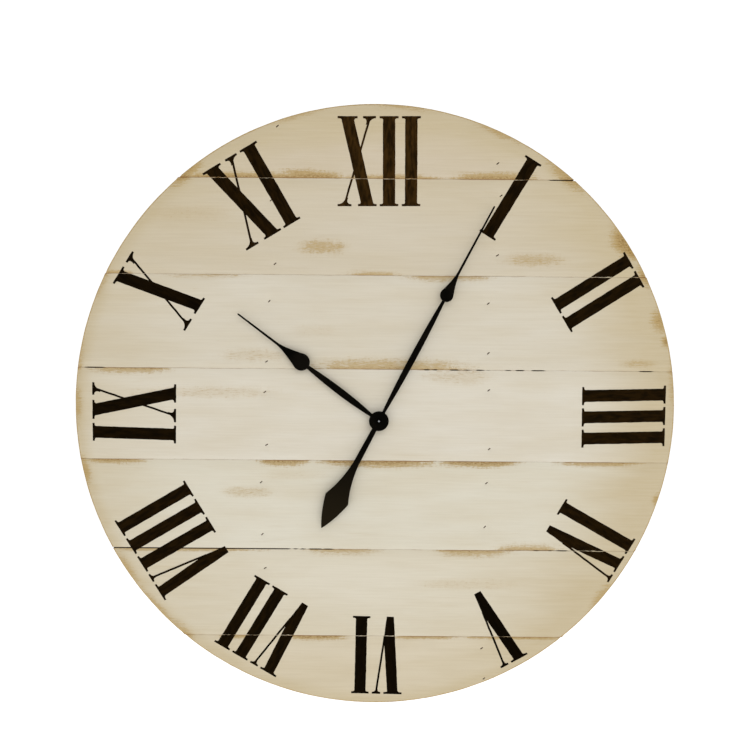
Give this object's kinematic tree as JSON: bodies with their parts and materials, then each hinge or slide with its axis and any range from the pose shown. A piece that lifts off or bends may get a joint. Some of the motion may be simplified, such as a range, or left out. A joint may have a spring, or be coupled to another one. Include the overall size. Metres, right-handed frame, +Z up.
{
  "type": "wall clock",
  "caption": "Large round plank wall clock with a battery quartz movement behind its centre and a spade hour hand and minute hand.",
  "frame": {"origin": "middle notch of the saw-tooth hanger on the back, where the wall hook bears", "axes": "+Z up, -Y out of the dial towards the viewer, +X to the viewer's right; the wall is at +Y"},
  "size_m": [0.9144, 0.0526, 0.9144],
  "materials": {
    "painted_boards": "antique cream paint, rubbed through along the edges",
    "bare_pine": "bare planed softwood",
    "nail_steel": "dull, a little rusted",
    "black_metal": "satin black",
    "black_plastic": "fine spark-eroded",
    "knob_plastic": "smooth moulded",
    "white_plastic": "natural acetal",
    "bright_steel": "bright",
    "brassed_steel": "brass plated",
    "brass": "turned",
    "black_rubber": "matt",
    "magnet": "sintered ferrite",
    "copper_wire": "enamelled winding",
    "board_laminate": "green solder mask",
    "battery_sleeve": "printed sleeve, plain"
  },
  "bodies": {
    "root": {"board_1": "painted_boards", "board_2": "painted_boards", "board_3": "painted_boards", "board_4": "painted_boards", "board_5": "painted_boards", "board_6": "painted_boards", "board_7": "painted_boards", "batten_left": "bare_pine", "batten_right": "bare_pine", "nail_left_1a": "nail_steel", "nail_left_2a": "nail_steel", "nail_left_2b": "nail_steel", "nail_left_3a": "nail_steel", "nail_left_3b": "nail_steel", "nail_left_4a": "nail_steel", "nail_left_4b": "nail_steel", "nail_left_5a": "nail_steel", "nail_left_5b": "nail_steel", "nail_left_6a": "nail_steel", "nail_left_6b": "nail_steel", "nail_left_7a": "nail_steel", "nail_right_1a": "nail_steel", "nail_right_2a": "nail_steel", "nail_right_2b": "nail_steel", "nail_right_3a": "nail_steel", "nail_right_3b": "nail_steel", "nail_right_4a": "nail_steel", "nail_right_4b": "nail_steel", "nail_right_5a": "nail_steel", "nail_right_5b": "nail_steel", "nail_right_6a": "nail_steel", "nail_right_7a": "nail_steel", "nail_right_7b": "nail_steel", "sawtooth_hanger": "brassed_steel", "hanger_screw_left": "bright_steel", "hanger_screw_right": "bright_steel", "movement_case": "black_plastic", "movement_cover": "black_plastic", "train_bridge": "white_plastic", "rubber_gasket": "black_rubber", "dial_washer": "brass", "dial_nut": "brass", "stator": "bright_steel", "coil": "copper_wire", "circuit_board": "board_laminate", "contact_positive": "bright_steel", "contact_negative": "bright_steel"},
    "minute": {"minute_arbor": "bright_steel", "minute_hand": "black_metal", "hand_nut": "black_metal", "centre_wheel": "white_plastic"},
    "hour": {"hour_wheel": "white_plastic", "hour_hand": "black_metal"},
    "minute_wheel": {"minute_wheel": "white_plastic"},
    "setting": {"setting_knob": "knob_plastic"},
    "third": {"third_wheel": "white_plastic"},
    "fourth": {"fourth_wheel": "white_plastic"},
    "intermediate": {"intermediate_wheel": "white_plastic"},
    "rotor": {"rotor": "magnet"},
    "battery": {"battery": "battery_sleeve"}
  },
  "joints": [
    {"name": "minute_spin", "type": "hinge", "parent": "root", "child": "minute", "pos_m": [0.006, 0.0033, -0.3055], "axis": [0, 1, 0], "continuous": true},
    {"name": "hour_spin", "type": "hinge", "parent": "root", "child": "hour", "pos_m": [0.006, 0.0033, -0.3055], "axis": [0, 1, 0], "continuous": true},
    {"name": "minute_wheel_spin", "type": "hinge", "parent": "root", "child": "minute_wheel", "pos_m": [-0.00309, 0.0033, -0.30025], "axis": [0, 1, 0], "continuous": true},
    {"name": "setting_spin", "type": "hinge", "parent": "root", "child": "setting", "pos_m": [-0.01219, 0.0033, -0.295], "axis": [0, 1, 0], "continuous": true},
    {"name": "third_spin", "type": "hinge", "parent": "root", "child": "third", "pos_m": [0.01208, 0.0033, -0.29498], "axis": [0, 1, 0], "continuous": true},
    {"name": "fourth_spin", "type": "hinge", "parent": "root", "child": "fourth", "pos_m": [0.006, 0.0033, -0.3055], "axis": [0, 1, 0], "continuous": true},
    {"name": "intermediate_spin", "type": "hinge", "parent": "root", "child": "intermediate", "pos_m": [0.01429, 0.0033, -0.30852], "axis": [0, 1, 0], "continuous": true},
    {"name": "rotor_spin", "type": "hinge", "parent": "root", "child": "rotor", "pos_m": [0.0198, 0.0033, -0.30389], "axis": [0, 1, 0], "continuous": true},
    {"name": "battery_slide", "type": "slide", "parent": "root", "child": "battery", "axis": [0, 1, 0], "range_m": [0, 0.02]}
  ],
  "couplings": [
    {"joint": "hour_spin", "follows": "minute_spin", "ratio": 0.083333},
    {"joint": "minute_wheel_spin", "follows": "minute_spin", "ratio": -0.33333},
    {"joint": "setting_spin", "follows": "minute_spin", "ratio": 1},
    {"joint": "third_spin", "follows": "minute_spin", "ratio": -8},
    {"joint": "fourth_spin", "follows": "minute_spin", "ratio": 60},
    {"joint": "intermediate_spin", "follows": "minute_spin", "ratio": -360},
    {"joint": "rotor_spin", "follows": "minute_spin", "ratio": 1800}
  ]
}
